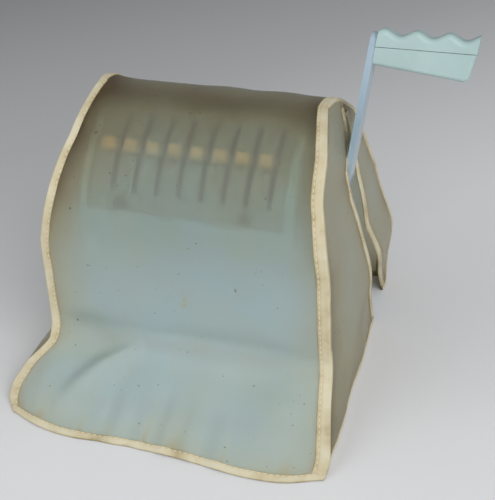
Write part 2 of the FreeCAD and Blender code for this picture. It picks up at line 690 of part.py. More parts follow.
# Side gauge: an angle strip that slides across the table
gauge = keep(part("side_gauge"))
pad(gauge, outline(gauge, "angle", "XZ_Plane", [
    ("6 - base_width / 2", "deck_top + table_thick + 0.2"),
    ("-head_width / 2 - 1", "deck_top + table_thick + 0.2"),
    ("-head_width / 2 - 1", "throat_top - 1"), ("-head_width / 2 - 3", "throat_top - 1"),
    ("-head_width / 2 - 3", "deck_top + table_thick + 1.6"),
    ("6 - base_width / 2", "deck_top + table_thick + 1.6")]), "56")
soften(gauge, "3", lambda e: along(e, 2) and e.CenterOfMass.x < -num("head_width / 2 + 10"))
place(gauge, "0", "throat_depth - 71", "0")

# Grip: two plastic mouldings, the upper one scalloped for the fingers
far = "(lever_length - 9 - bend_height)"
spot = "(bend_height + %s * cos(lever_splay))" % far
grip_at = ("lever_x + %s * sin(lever_splay)" % far, "main_y + %s * sin(lever_lean)" % spot,
           "main_z + %s * cos(lever_lean)" % spot)
lean_in = "tan(lever_splay)"
top = keep(doc.addObject("Part::Feature", "grip_upper"))
top.Label = "grip_upper"
length = num("grip_length + lever_thick / 2")
deep = num("grip_deep")
start = num("(lever_thick / 2 + 0.1) / cos(lever_splay)")
high_start = start + num("grip_upper_high * %s" % lean_in)


def wave(x):
    """Height of the waved top at a distance along the grip."""
    turn = 2 * math.pi * (x - start - num("first_crest")) / num("finger_pitch")
    return num("grip_upper_high") - num("finger_depth") * (1 - math.cos(turn)) / 2


steps = [high_start + (length - high_start) * i / 36 for i in range(37)]
crest = Part.BSplineCurve()
crest.interpolate([Vector(x, -deep / 2, wave(x)) for x in steps])
ends = [Vector(start, -deep / 2, 0), Vector(length - 1, -deep / 2, 0)]
rim = [crest.toShape(), Part.makeLine(Vector(length, -deep / 2, wave(length)), ends[1]),
       Part.makeLine(ends[1], ends[0]),
       Part.makeLine(ends[0], Vector(high_start, -deep / 2, wave(high_start)))]
block = Part.Face(Part.Wire(rim)).extrude(Vector(0, deep, 0))
waved = [e for e in block.Edges if e.Curve.TypeId == "Part::GeomBSplineCurve"]
top.Shape = block.makeFillet(num("edge_round"), waved)
place(top, *grip_at, lean)
lower = keep(part("grip_lower"))
pad(lower, outline(lower, "front", "XZ_Plane", [
    ("(%s + 0.1) / cos(lever_splay)" % thick, "-0.4"), ("grip_length + %s - 1" % thick, "-0.4"),
    ("grip_length + %s - 5" % thick, "-grip_lower_far"),
    ("(%s + 0.1) / cos(lever_splay) - grip_lower_near * %s" % (thick, lean_in), "-grip_lower_near")]),
    "grip_deep - 1")
soften(lower, "4", lambda e: along(e, 1) and e.CenterOfMass.x > 40 and e.CenterOfMass.z < -8)
soften(lower, "2.5", lambda e: e.CenterOfMass.z < -9 and abs(e.CenterOfMass.y) > 5 and e.Length > 30)
place(lower, *grip_at, lean)
heads = []
for i, x in enumerate(("20", "52")):
    screw = rod("grip_screw_%d" % i, "3", "1.2", x, "grip_deep / 2 - 0.5", "-6", ((1, 0, 0), -90))
    heads.append(screw)
bolts = keep(group("grip_screws", heads))
place(bolts, *grip_at, lean)
doc.recompute()

# Dust cover: a vinyl strip over front, top and back, two sides, and taped seams
slope = math.radians(num("roof_slope"))
cover_radius = num("dome_radius + cover_gap")
front_y = num("shaft_y") - cover_radius
touch = Vector(0, num("shaft_y") + cover_radius * math.sin(slope),
               num("shaft_z") + cover_radius * math.cos(slope))
peak = Vector(0, front_y, touch.z + (touch.y - front_y) * math.tan(slope))
knee = Vector(0, front_y, num("cover_knee"))
toe = Vector(0, num("cover_front"), num("floor_gap"))
under = toe + (toe - knee) * 0.4
shoulder = touch + Vector(0, math.cos(slope), -math.sin(slope)) * 30
tail = Vector(0, num("head_rear") + 18, num("floor_gap"))
hip = Vector(0, num("head_rear") + 28, num("cover_knee") - 2)
corners = [(under, 0), (knee, 30), (peak, cover_radius), (shoulder, 18),
           (Vector(0, num("head_rear") + 11, num("shaft_z") - 35), 60), (hip, 22),
           (tail + (tail - hip) * 0.7, 0)]


def rounded(spots):
    """Closed wire through corners, each rounded by its own radius."""
    edges = []
    count = len(spots)
    trims = []
    for i, (p, r) in enumerate(spots):
        a = (spots[i - 1][0] - p).normalize()
        b = (spots[(i + 1) % count][0] - p).normalize()
        if r:
            bend = math.acos(max(-1, min(1, a.dot(b))))
            cut = r / math.tan(bend / 2)
            middle = p + (a + b).normalize() * (r / math.sin(bend / 2))
            trims.append((p + a * cut, p + b * cut, middle + (p - middle).normalize() * r))
        else:
            trims.append((p, p, None))
    for i in range(count):
        first, last, through = trims[i]
        if through:
            edges.append(Part.Arc(first, through, last).toShape())
        edges.append(Part.makeLine(last, trims[(i + 1) % count][0]))
    return Part.Wire(edges)


side_face = Part.Face(rounded(corners))
beyond = 4 * num("base_width")


def from_side(grow):
    """The cover's side outline grown by a distance and drawn out across the machine."""
    face = side_face.makeOffset2D(grow) if grow else side_face
    return face.extrude(Vector(400, 0, 0)).translated(Vector(-200, 0, 0))


def from_front(grow):
    """The cover's front outline grown by a distance and drawn out from front to back."""
    rise = num("shaft_z + dome_radius + cover_gap - cover_waist")
    lean_in = num("cover_waist_half - cover_top_half") / rise
    flare = num("cover_foot_half - cover_knee_half") / num("cover_knee")
    rows = [(-30, num("cover_foot_half") + 30 * flare), (num("cover_knee"), num("cover_knee_half")),
            (num("cover_waist"), num("cover_waist_half")),
            (num("cover_waist") + 130, num("cover_waist_half") - 130 * lean_in)]
    right = [Vector(w + grow, -300, z) for z, w in rows]
    left = [Vector(-w - grow, -300, z) for z, w in reversed(rows)]
    face = Part.Face(Part.makePolygon(right + left + [right[0]]))
    return face.extrude(Vector(0, beyond, 0))


def slab(low, high):
    return Part.makeBox(beyond, beyond, high - low, Vector(-beyond / 2, -beyond / 2, low))


def prism(spots, start, end):
    """Side-view polygon drawn out from one x to another."""
    face = Part.Face(Part.makePolygon([Vector(start, y, z) for y, z in spots + spots[:1]]))
    return face.extrude(Vector(end - start, 0, 0))


def sewn(label, shape):
    made = keep(doc.addObject("Part::Feature", label))
    made.Label = label
    solids = sorted(shape.removeSplitter().Solids, key=lambda s: -s.Volume)
    made.Shape = solids[0] if len(solids) == 1 else Part.Compound([s for s in solids if s.Volume > 1])
    return made


floor_gap = num("floor_gap")
vinyl = num("vinyl")
tape = num("tape")
wide = num("tape_wide")
above = slab(floor_gap, 600)
hem_top = floor_gap + 7
sides = {grow: from_side(grow) for grow in (0, -vinyl, tape, 1 - wide)}
fronts = {grow: from_front(grow) for grow in (0, -vinyl, tape, -wide)}
sewn("cover_strip", sides[0].cut(sides[-vinyl]).common(fronts[-vinyl]).common(above))
skirts = fronts[0].cut(fronts[-vinyl]).common(sides[0]).common(above)
sewn("cover_left_side", skirts.common(prism([(-300, -50), (400, -50), (400, 500), (-300, 500)], -300, 0)))
# The right side is slit for the lever: a front half and a narrow rear flap
slit = {name: num("slit_" + name) for name in ("foot", "waist", "mouth", "height", "rise")}
flap = {name: num("flap_" + name) for name in ("foot", "waist", "height")}
front_edge = [(slit["foot"], -20), (slit["foot"], floor_gap), (slit["waist"], slit["height"]),
              (slit["waist"] + 2, slit["rise"] - 10), (slit["mouth"], slit["rise"]), (slit["mouth"] + 2, 300)]
rear_edge = [(flap["foot"], -20), (flap["foot"], floor_gap), (flap["waist"], flap["height"]),
             (flap["waist"] - 2, slit["height"]), (slit["mouth"] + 6, slit["rise"]), (slit["mouth"] + 8, 300)]
sewn("cover_right_front", skirts.common(prism(front_edge + [(-300, 300), (-300, -20)], 1, 300)))
sewn("cover_right_flap", skirts.common(prism(rear_edge + [(400, 300), (400, -20)], 1, 300)))
# Folded tape over both seams, round the hem and along the slit
over = sides[tape].cut(sides[0]).common(fronts[tape].cut(fronts[-wide]))
beside = fronts[tape].cut(fronts[0]).common(sides[0].cut(sides[1 - wide]))
seams = over.fuse(beside).common(slab(hem_top, 600))
half_space = prism([(-300, -50), (400, -50), (400, 500), (-300, 500)], 0, 300)
sewn("seam_tape_left", seams.cut(half_space))
sewn("seam_tape_right", seams.common(half_space))
skin = sides[tape].common(fronts[tape]).cut(sides[0].common(fronts[0])).common(slab(floor_gap, hem_top))
sewn("hem_tape", skin.cut(prism([
    (slit["foot"], -20), (flap["foot"], -20), (flap["foot"], 60), (slit["foot"], 60)], 60, 300)))
lining = fronts[tape].cut(fronts[0]).common(sides[1 - wide])
lining = lining.common(slab(hem_top, 600))


def beside_edge(edge, shift):
    """A band along a slit edge."""
    return [(y, z) for y, z in edge] + [(y + shift, z) for y, z in reversed(edge)]


sewn("slit_tape_front", lining.common(prism(beside_edge(front_edge, -6), 1, 300)))
sewn("slit_tape_rear", lining.common(prism(beside_edge(rear_edge, 6), 1, 300)))
doc.recompute()

# Every sub-part is checked and written to its own file
os.makedirs("parts", exist_ok=True)
for thing in doc.Objects:
    if "Invalid" in thing.State or "Error" in thing.State:
        raise RuntimeError("failed feature " + thing.Label)
for thing in nodes:
    shape = thing.Shape
    if shape.isNull() or not shape.isValid() or not shape.Solids:
        raise RuntimeError("bad shape " + thing.Label)
    shape.exportStep("parts/%s.step" % thing.Label)
    box = shape.BoundBox
    sides_of_box = (box.XMin, box.XMax, box.YMin, box.YMax, box.ZMin, box.ZMax)
    print("%-20s %3d solids %9.1f mm3 x %7.1f %7.1f y %7.1f %7.1f z %7.1f %7.1f" % (
        thing.Label, len(shape.Solids), shape.Volume, *sides_of_box))
print(len(nodes), "nodes")
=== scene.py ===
import bpy
import numpy as np
from mathutils import Matrix, Vector


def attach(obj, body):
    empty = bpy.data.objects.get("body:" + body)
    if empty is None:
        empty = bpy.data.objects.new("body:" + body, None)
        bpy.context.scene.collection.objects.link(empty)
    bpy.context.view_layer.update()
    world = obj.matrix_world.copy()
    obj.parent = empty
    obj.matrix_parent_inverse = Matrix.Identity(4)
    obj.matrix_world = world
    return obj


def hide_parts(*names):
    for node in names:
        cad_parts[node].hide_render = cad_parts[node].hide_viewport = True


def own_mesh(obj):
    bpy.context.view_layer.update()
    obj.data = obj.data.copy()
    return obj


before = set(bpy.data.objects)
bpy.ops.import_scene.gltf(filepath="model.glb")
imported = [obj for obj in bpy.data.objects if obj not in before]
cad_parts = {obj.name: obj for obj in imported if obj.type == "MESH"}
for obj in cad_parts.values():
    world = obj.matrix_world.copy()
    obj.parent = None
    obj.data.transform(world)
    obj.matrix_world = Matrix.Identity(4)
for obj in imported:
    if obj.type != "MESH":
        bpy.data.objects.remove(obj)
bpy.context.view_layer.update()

# Painted castings and pressings: base, head and rear cover in pale blue stove enamel over iron and
# sheet steel. The solids carry the shape; the finish is softly mottled, with a slight orange peel.


def finish(name, colour, rough, metal=0.0):
    """A new material with one principled shader; returns the material, its nodes, links and shader."""
    made = bpy.data.materials.new(name)
    made.use_nodes = True
    nodes = made.node_tree.nodes
    shader = nodes["Principled BSDF"]
    shader.inputs["Base Color"].default_value = (*colour, 1)
    shader.inputs["Roughness"].default_value = rough
    shader.inputs["Metallic"].default_value = metal
    return made, nodes, made.node_tree.links, shader


def noise(nodes, links, scale, detail=4.0, stretch=(1, 1, 1)):
    """Noise on the piece's own coordinates, with a stretch along each axis; returns its value socket."""
    where = nodes.new("ShaderNodeTexCoord")
    turn = nodes.new("ShaderNodeMapping")
    turn.inputs["Scale"].default_value = stretch
    grain = nodes.new("ShaderNodeTexNoise")
    grain.inputs["Scale"].default_value = scale
    grain.inputs["Detail"].default_value = detail
    links.new(where.outputs["Object"], turn.inputs["Vector"])
    links.new(turn.outputs["Vector"], grain.inputs["Vector"])
    return grain.outputs["Fac"]


def ramp(nodes, links, value, stops):
    """Colours at given places along a value."""
    made = nodes.new("ShaderNodeValToRGB")
    strip = made.color_ramp.elements
    strip[0].position, strip[0].color = stops[0][0], (*stops[0][1], 1)
    strip[1].position, strip[1].color = stops[-1][0], (*stops[-1][1], 1)
    for place, colour in stops[1:-1]:
        strip.new(place).color = (*colour, 1)
    links.new(value, made.inputs["Fac"])
    return made.outputs["Color"]


def relief(nodes, links, shader, value, depth, reach):
    """Small bumps from a value."""
    bump = nodes.new("ShaderNodeBump")
    bump.inputs["Strength"].default_value = depth
    bump.inputs["Distance"].default_value = reach
    links.new(value, bump.inputs["Height"])
    links.new(bump.outputs["Normal"], shader.inputs["Normal"])


def paint(node, material):
    """Gives a CAD node one material."""
    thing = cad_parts[node]
    thing.data.materials.clear()
    thing.data.materials.append(material)


enamel, n, l, s = finish("blue_enamel", (0.36, 0.53, 0.6), 0.32)
mottle = [(0.3, (0.31, 0.47, 0.55)), (0.55, (0.37, 0.54, 0.61)), (0.75, (0.41, 0.57, 0.62))]
l.new(ramp(n, l, noise(n, l, 9), mottle), s.inputs["Base Color"])
relief(n, l, s, noise(n, l, 420, 2), 0.12, 0.0004)
s.inputs["Coat Weight"].default_value = 0.25
s.inputs["Coat Roughness"].default_value = 0.18
for node in ("base_casting", "head_housing", "rear_cover"):
    paint(node, enamel)

# Plain steel pieces: table, frames, shafts, selectors and screws, rolled and turned bar and sheet,
# brushed along their length and lightly oiled.
steel, n, l, s = finish("oiled_steel", (0.52, 0.52, 0.5), 0.36, 1.0)
streaks = [(0.3, (0.4, 0.4, 0.39)), (0.7, (0.58, 0.58, 0.56))]
l.new(ramp(n, l, noise(n, l, 60, 5, stretch=(0.1, 1, 1)), streaks), s.inputs["Base Color"])
relief(n, l, s, noise(n, l, 900, 2, stretch=(0.05, 1, 1)), 0.1, 0.0003)
plain = ["bottom_plate", "cheque_table", "left_frame", "right_frame", "tie_bars", "back_stop",
         "selector_shaft", "spacing_collars", "detent_comb", "machine_screws", "main_shaft", "lever_hub",
         "hub_cap", "lifter_arms", "platen_bar", "guide_posts", "return_spring", "ink_core", "side_gauge",
         "grip_screws", "lock_barrel"]
columns = range(1, 9)
for node in plain + ["selector_%d" % i for i in columns]:
    paint(node, steel)

# Rubber feet, platen pad and black thumbscrews, all moulded hard rubber with a fine grain; the inker's
# felt sleeve, soaked dark violet; and the main shaft's turned bronze bushes.
black, n, l, s = finish("hard_rubber", (0.025, 0.025, 0.025), 0.75)
relief(n, l, s, noise(n, l, 700), 0.3, 0.0004)
for node in ("rubber_feet", "platen_pad", "panel_thumbscrews"):
    paint(node, black)
felt, n, l, s = finish("inked_felt", (0.04, 0.03, 0.09), 0.95)
relief(n, l, s, noise(n, l, 1200), 0.6, 0.0006)
paint("ink_felt", felt)
bronze, n, l, s = finish("oiled_bronze", (0.5, 0.36, 0.18), 0.4, 1.0)
relief(n, l, s, noise(n, l, 800), 0.1, 0.0003)
paint("shaft_bushes", bronze)

# Keyboard panel: a curved pressed plate under the head's window, slotted for the stems and held by two
# thumbscrews. Satin grey-green enamel, softly mottled.
board, n, l, s = finish("panel_enamel", (0.33, 0.39, 0.36), 0.45)
satin = [(0.3, (0.2, 0.25, 0.24)), (0.7, (0.27, 0.32, 0.3))]
l.new(ramp(n, l, noise(n, l, 14), satin), s.inputs["Base Color"])
relief(n, l, s, noise(n, l, 500, 2), 0.1, 0.0004)
paint("keyboard_panel", board)

# Key caps: one on each selector's finger plate, moulded in cream plastic and dished for the finger.
# The plastic is yellowed and a little uneven in colour.
cream, n, l, s = finish("cream_plastic", (0.76, 0.58, 0.36), 0.35)
yellowed = [(0.3, (0.78, 0.56, 0.34)), (0.7, (0.86, 0.68, 0.46))]
l.new(ramp(n, l, noise(n, l, 40), yellowed), s.inputs["Base Color"])
relief(n, l, s, noise(n, l, 600, 2), 0.08, 0.0003)
for i in columns:
    paint("key_%d" % i, cream)

# Lever arm: a flat steel bar bent outwards above its hub and fixed on the main shaft, in the same pale
# blue enamel as the castings, clouded by handling.
lever_blue, n, l, s = finish("lever_enamel", (0.34, 0.47, 0.56), 0.3)
clouded = [(0.25, (0.27, 0.37, 0.45)), (0.6, (0.35, 0.455, 0.53))]
l.new(ramp(n, l, noise(n, l, 16, 6), clouded), s.inputs["Base Color"])
relief(n, l, s, noise(n, l, 420, 2), 0.1, 0.0004)
s.inputs["Coat Weight"].default_value = 0.3
paint("lever_arm", lever_blue)

# Grip mouldings: two shells of mint green plastic screwed together over the lever's end, the upper
# one waved for the fingers, the lower one flaring outwards. Both keep the solids' place.
mint, n, l, s = finish("mint_plastic", (0.46, 0.62, 0.57), 0.42)
faded = [(0.3, (0.34, 0.46, 0.45)), (0.7, (0.4, 0.53, 0.52))]
l.new(ramp(n, l, noise(n, l, 22, 5), faded), s.inputs["Base Color"])
relief(n, l, s, noise(n, l, 650, 3), 0.15, 0.0004)
s.inputs["Subsurface Weight"].default_value = 0.08
s.inputs["Subsurface Radius"].default_value = (0.004, 0.004, 0.003)
for node in ("grip_upper", "grip_lower"):
    paint(node, mint)

# Vinyl strip: one length of frosted sheet over front, top and back, hanging from the head's dome and
# flaring to the floor. Calendered vinyl, gone milky and yellow, stained brown along the seams, with shade
# also painted into its colour in the left hollow and towards the top.


def rounded_line(corners, step=0.0005):
    """Points at even steps along straight runs between corners, each turned by an arc of its radius."""
    p = np.array([c[:2] for c in corners], float)
    pieces = [p[:1]]
    for i in range(1, len(corners) - 1):
        a = p[i - 1] - p[i]
        b = p[i + 1] - p[i]
        a, b = a / np.linalg.norm(a), b / np.linalg.norm(b)
        bend = np.arccos(np.clip(a @ b, -1, 1))
        r = corners[i][2]
        middle = p[i] + (a + b) / np.linalg.norm(a + b) * r / np.sin(bend / 2)
        first, last = p[i] + a * r / np.tan(bend / 2), p[i] + b * r / np.tan(bend / 2)
        g0, g1 = (np.arctan2(*(q - middle)[::-1]) for q in (first, last))
        g1 = g0 + (g1 - g0 + np.pi) % (2 * np.pi) - np.pi
        g = np.linspace(g0, g1, 60)
        pieces.append(middle + r * np.stack([np.cos(g), np.sin(g)], 1))
    pieces.append(p[-1:])
    line = np.concatenate(pieces)
    run = np.concatenate([[0], np.cumsum(np.linalg.norm(np.diff(line, axis=0), axis=1))])
    even = np.linspace(0, run[-1], int(run[-1] / step))
    return even, np.stack([np.interp(even, run, line[:, k]) for k in (0, 1)], 1)


dome_y = 0.022
dome_z = 0.130
dome_r = 0.080
roof = np.radians(32)
floor_gap = 0.0008
vinyl_wall = 0.0006
front_y = dome_y - dome_r
toe = (-0.120, floor_gap, 0)
knee = (front_y, 0.040, 0.030)
touch = np.array([dome_y + dome_r * np.sin(roof), dome_z + dome_r * np.cos(roof)])
peak = (front_y, touch[1] + (touch[0] - front_y) * np.tan(roof))
shoulder = touch + 0.030 * np.array([np.cos(roof), -np.sin(roof)])
small_of_back = (0.131, 0.095, 0.060)
hip = (0.148, 0.038, 0.022)
heel = (0.138, floor_gap, 0)
profile_run, profile = rounded_line([
    toe, knee, (*peak, dome_r), (*shoulder, 0.018), small_of_back, hip, heel])
slope = np.gradient(profile, axis=0)
slope /= np.linalg.norm(slope, axis=1)[:, None]
ridge_run = profile_run[np.argmax(profile[:, 1])]


def hump(a, middle, spread):
    """A smooth hill of height one."""
    return np.exp(-((a - middle) / spread) ** 2)


def eased(at, places, values, blur):
    """Values between given places, with the corners blurred away over a given reach."""
    near = np.linspace(-2, 2, 25)
    share = np.exp(-near ** 2) / np.sum(np.exp(-near ** 2))
    return sum(s * np.interp(at + blur * k, places, values) for s, k in zip(share, near))


def half_width(hand, run, y, z):
    """Half the cover's width along the profile: flared foot, waist, drawn in over the dome."""
    behind = eased(z, [0, 0.040, 0.122, 0.210], [0.118, 0.108, 0.106, 0.0845], 0.012)
    to_rear = np.clip((y - 0.06) / 0.06, 0, 1)
    behind = behind + np.where(hand > 0, 0.012 * hump(z, 0.055, 0.035), 0) * to_rear
    left = eased(run, [0, 0.010, 0.024, 0.045, 0.066, 0.095, 0.15, 0.19, 0.232, 0.2875],
                 [0.1185, 0.1265, 0.126, 0.119, 0.1062, 0.1062, 0.1058, 0.0968, 0.0873, 0.0845], 0.004)
    right = eased(run, [0, 0.0135, 0.055, 0.095, 0.15, 0.185, 0.207, 0.235, 0.2875],
                  [0.1185, 0.1203, 0.1127, 0.1082, 0.1058, 0.1012, 0.0969, 0.0953, 0.0845], 0.006)
    return np.where(run > ridge_run, behind, np.where(hand > 0, right, left))


def crease(x, h, start, end, width):
    """A ridge along a line in the plane of x and height, rising and fading between its ends."""
    start, end = np.array(start), np.array(end)
    way = end - start
    size = np.linalg.norm(way)
    way = way / size
    t = ((x - start[0]) * way[0] + (h - start[1]) * way[1]) / size
    reach = np.clip(t, 0, 1) * size
    off = np.hypot(x - start[0] - reach * way[0], h - start[1] - reach * way[1])
    return np.exp(-(off / width) ** 2) * np.sin(np.pi * np.clip(0.06 + 0.88 * t, 0, 1))


def stand_off(x, run, z, edge):
    """How far the vinyl stands off its plain form: creases and hollows in front, slow waves all over."""
    left_fold = 0.0095 * crease(x, z, (-0.086, 0.012), (-0.034, 0.042), 0.0065)
    left_corner = 0.0030 * crease(x, z, (-0.098, 0.008), (-0.100, 0.030), 0.010)
    middle_fold = 0.0025 * crease(x, z, (-0.015, 0.004), (-0.030, 0.030), 0.012)
    right_fold = 0.0045 * crease(x, z, (0.108, 0.040), (0.055, 0.014), 0.012)
    broad_hollow = 0.0040 * hump(x, 0.02, 0.06) * hump(z, 0.055, 0.018)
    left_hollow = 0.0060 * hump(x, -0.080, 0.024) * hump(z, 0.047, 0.014)
    left_pull = 0.0016 * crease(x, z, (-0.104, 0.125), (-0.05, 0.1), 0.014)
    right_pull = 0.0018 * crease(x, z, (0.105, 0.15), (0.045, 0.11), 0.016)
    hem_ripple = 0.0011 * np.sin(250 * x + 3 * np.sin(37 * x)) * hump(z, 0.010, 0.012)
    folds = left_fold + left_corner + middle_fold + right_fold + left_pull + right_pull + hem_ripple
    in_front = 1 / (1 + np.exp((run - ridge_run + 0.03) / 0.01))
    rise = (folds - broad_hollow - left_hollow) * in_front
    rise -= 0.0016 * hump(run, ridge_run, 0.03) * hump(x, -0.055, 0.02)
    rise += 0.0011 * np.sin(47 * x + 21 * run + 0.4) * np.sin(19 * run + 0.7)
    rise += 0.0006 * np.sin(113 * x - 37 * run + 1.3) * np.sin(23 * x + 1)
    rise += 0.0003 * np.sin(97 * run + 31 * x)
    rests_on_head = 1 / (1 + np.exp((0.088 - run) / 0.005))
    rise = rise + rests_on_head * (0.0004 + np.maximum(-rise, 0))
    left_peak = 0.0042 * hump(run, ridge_run + 0.006, 0.022) * np.clip((-x - 0.064) / 0.018, 0, 1) ** 1.5
    return rise * (1 - edge ** 6) + left_peak


def strip_points(u, run):
    """Points of the strip from a share of the half width and a length along the side profile."""
    u, run = np.broadcast_arrays(u, run)
    y = np.interp(run, profile_run, profile[:, 0])
    z = np.interp(run, profile_run, profile[:, 1])
    out_y = -np.interp(run, profile_run, slope[:, 1])
    out_z = np.interp(run, profile_run, slope[:, 0])
    x = u * (half_width(u, run, y, z) - vinyl_wall)
    off = stand_off(x, run, z, np.abs(u))
    hem = eased(x, [-0.125, -0.1, -0.073, -0.02, 0.018, 0.064, 0.098, 0.118],
                [0.012, 0.0, -0.0062, -0.0035, -0.005, -0.0105, -0.0085, 0.004], 0.013)
    y = y + hem * hump(z, 0, 0.022) * (run < ridge_run)
    return np.stack([x, y + off * out_y, np.maximum(z + off * out_z, floor_gap)], -1)


def surface(name, points, material, uv=None, marks=None, loop=False):
    """A mesh of quads over a grid of points, with a UV map in the grid's own lengths and named marks."""
    rows, cols = points.shape[:2]
    mesh = bpy.data.meshes.new(name)
    index = np.arange(rows * cols).reshape(rows, cols)
    if loop:
        index = np.concatenate([index, index[:, :1]], 1)
    quads = np.stack([index[:-1, :-1], index[:-1, 1:], index[1:, 1:], index[1:, :-1]], -1)
    quads = quads.reshape(-1, 4)
    mesh.from_pydata(points.reshape(-1, 3), [], quads)
    mesh.polygons.foreach_set("use_smooth", np.ones(len(quads), bool))
    if uv is not None:
        layer = mesh.uv_layers.new(name="cloth")
        layer.data.foreach_set("uv", uv.reshape(-1, 2)[quads.ravel()].astype(np.float32).ravel())
    for key, value in (marks or {}).items():
        layer = mesh.attributes.new(key, "FLOAT", "POINT")
        layer.data.foreach_set("value", value.astype(np.float32).ravel())
    made = bpy.data.objects.new(name, mesh)
    bpy.context.scene.collection.objects.link(made)
    mesh.materials.append(material)
    return made


def on_cover(piece, slot, *nodes):
    """The piece rides on the cover and stands for its nodes; its slot is not used."""
    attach(piece, "cover")
    if nodes:
        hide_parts(*nodes)
    return piece


def thicken(piece, wall):
    """Gives a sheet its thickness inwards."""
    skin = piece.modifiers.new("wall", "SOLIDIFY")
    skin.thickness = wall
    skin.offset = -1
    return piece


frosted, n, l, s = finish("frosted_vinyl", (0.62, 0.66, 0.6), 0.3)
# The mark read here carries the sheet's yellowing and stains, and also painted shade in the left hollow and
# towards the top.
age_and_shade = n.new("ShaderNodeAttribute")
age_and_shade.attribute_name = "age_and_shade"
cloud = noise(n, l, 16, 7)
mixed = n.new("ShaderNodeMath")
mixed.operation = "MULTIPLY_ADD"
l.new(cloud, mixed.inputs[0])
mixed.inputs[1].default_value = 0.45
l.new(age_and_shade.outputs["Fac"], mixed.inputs[2])
milky_to_brown = [(0.15, (0.64, 0.75, 0.76)), (0.42, (0.66, 0.71, 0.62)), (0.62, (0.64, 0.6, 0.44)),
                  (0.8, (0.46, 0.4, 0.26)), (1.0, (0.3, 0.22, 0.12))]
film = ramp(n, l, mixed.outputs["Value"], milky_to_brown)
specks = ramp(n, l, noise(n, l, 260, 1), [(0.755, (1, 1, 1)), (0.8, (0.45, 0.41, 0.32))])
soiled = n.new("ShaderNodeMix")
soiled.data_type, soiled.blend_type = "RGBA", "MULTIPLY"
soiled.inputs["Factor"].default_value = 1
l.new(film, soiled.inputs[6])
l.new(specks, soiled.inputs[7])
l.new(soiled.outputs[2], s.inputs["Base Color"])
relief(n, l, s, noise(n, l, 240, 4), 0.1, 0.0006)
haze = n.new("ShaderNodeAttribute")
haze.attribute_name = "haze"
l.new(haze.outputs["Fac"], s.inputs["Roughness"])
clear = n.new("ShaderNodeAttribute")
clear.attribute_name = "clear"
l.new(clear.outputs["Fac"], s.inputs["Transmission Weight"])
s.inputs["IOR"].default_value = 1.25
u = np.linspace(-1, 1, 151)[None, :]
run = np.linspace(0, profile_run[-1], 312)[:, None]
grid = strip_points(u, run)
x = grid[:, :, 0]
mean_half_width = 0.105
near_seam = (1 - np.abs(u)) * mean_half_width
most_age = 0.85
seam_stain = 0.5 * np.exp(-near_seam / 0.009)
hem_stain = 0.3 * np.exp(-run / 0.012)
# Darker and browner along the ridge and from the upper front over the top and back: partly yellow-brown
# staining, partly painted shade where the sheet faces up.
top_stain_and_shade = 0.29 * hump(run, ridge_run - 0.006, 0.02) + 0.3 * np.clip((run - 0.14) / 0.09, 0, 1)
left_stain = 0.14 * hump(x, -0.088, 0.018) * np.clip((run - 0.06) / 0.05, 0, 1)
# Painted shade: the sheet is tinted darker in the hollow above the left fold, where shade falls.
hollow_painted_shade = 0.08 * hump(x, -0.076, 0.024) * hump(run, 0.064, 0.014)
age_and_shade_mark = seam_stain + hem_stain + top_stain_and_shade + left_stain + hollow_painted_shade
drips = ((-0.096, 0.004, 0.012), (-0.062, 0.002, 0.016), (-0.041, 0.003, 0.009), (-0.012, 0.002, 0.02),
         (0.011, 0.005, 0.01), (0.047, 0.002, 0.014), (0.092, 0.005, 0.012))
for place, wide, tall in drips:
    age_and_shade_mark = age_and_shade_mark + 0.3 * hump(x - 0.1 * run, place, wide) * np.exp(-run / tall)
spot_stain = 0.35 * hump(x, 0.001, 0.003) * hump(run, 0.113, 0.002)
age_and_shade_mark = age_and_shade_mark + spot_stain + 0.3 * hump(x, 0.003, 0.0015) * hump(run, 0.118, 0.005)
clear_above = 0.85
clear_loss = 0.25
clear_mark = clear_above - clear_loss / (1 + np.exp((run - 0.165) / 0.018)) + 0 * x
haze_above = 0.285
haze_gain = 0.33
haze_mark = haze_above + haze_gain / (1 + np.exp((run - 0.115) / 0.014)) + 0 * x
marks = {"age_and_shade": np.minimum(most_age, age_and_shade_mark), "haze": haze_mark, "clear": clear_mark}
strip = surface("vinyl_strip", grid, frosted, np.stack([x, run + 0 * x], -1), marks)
on_cover(thicken(strip, vinyl_wall), "vinyl", "cover_strip")

# Vinyl sides: the left one whole, the right one slit for the lever into a front half and a rear flap.
# Cut from the same sheet and bellied a little between the seams.


def seam_line(hand):
    """Points of a side's front and back seams, each from the floor upwards."""
    line = strip_points(np.full(len(profile_run), float(hand)), profile_run)
    top = np.argmax(line[:, 2])
    return line[:top + 1], line[top:][::-1]


def side_points(hand, y, z, start, end, belly):
    """Points of a side at given places: carried from front to back seam, standing out by its belly."""
    front, back = seam_line(hand)
    y0, y1 = np.interp(z, front[:, 2], front[:, 1]), np.interp(z, back[:, 2], back[:, 1])
    x0, x1 = np.interp(z, front[:, 2], front[:, 0]), np.interp(z, back[:, 2], back[:, 0])
    way = np.clip((y - y0) / np.maximum(y1 - y0, 0.001), 0, 1)
    t = np.clip((y - start) / np.maximum(end - start, 0.001), 0, 1)
    swell = belly(t, z) + 0.0009 * np.sin(70 * y + 40 * z) * np.sin(np.pi * t)
    return np.stack([x0 + (x1 - x0) * way + hand * (swell + 0.0004), y, z], -1)


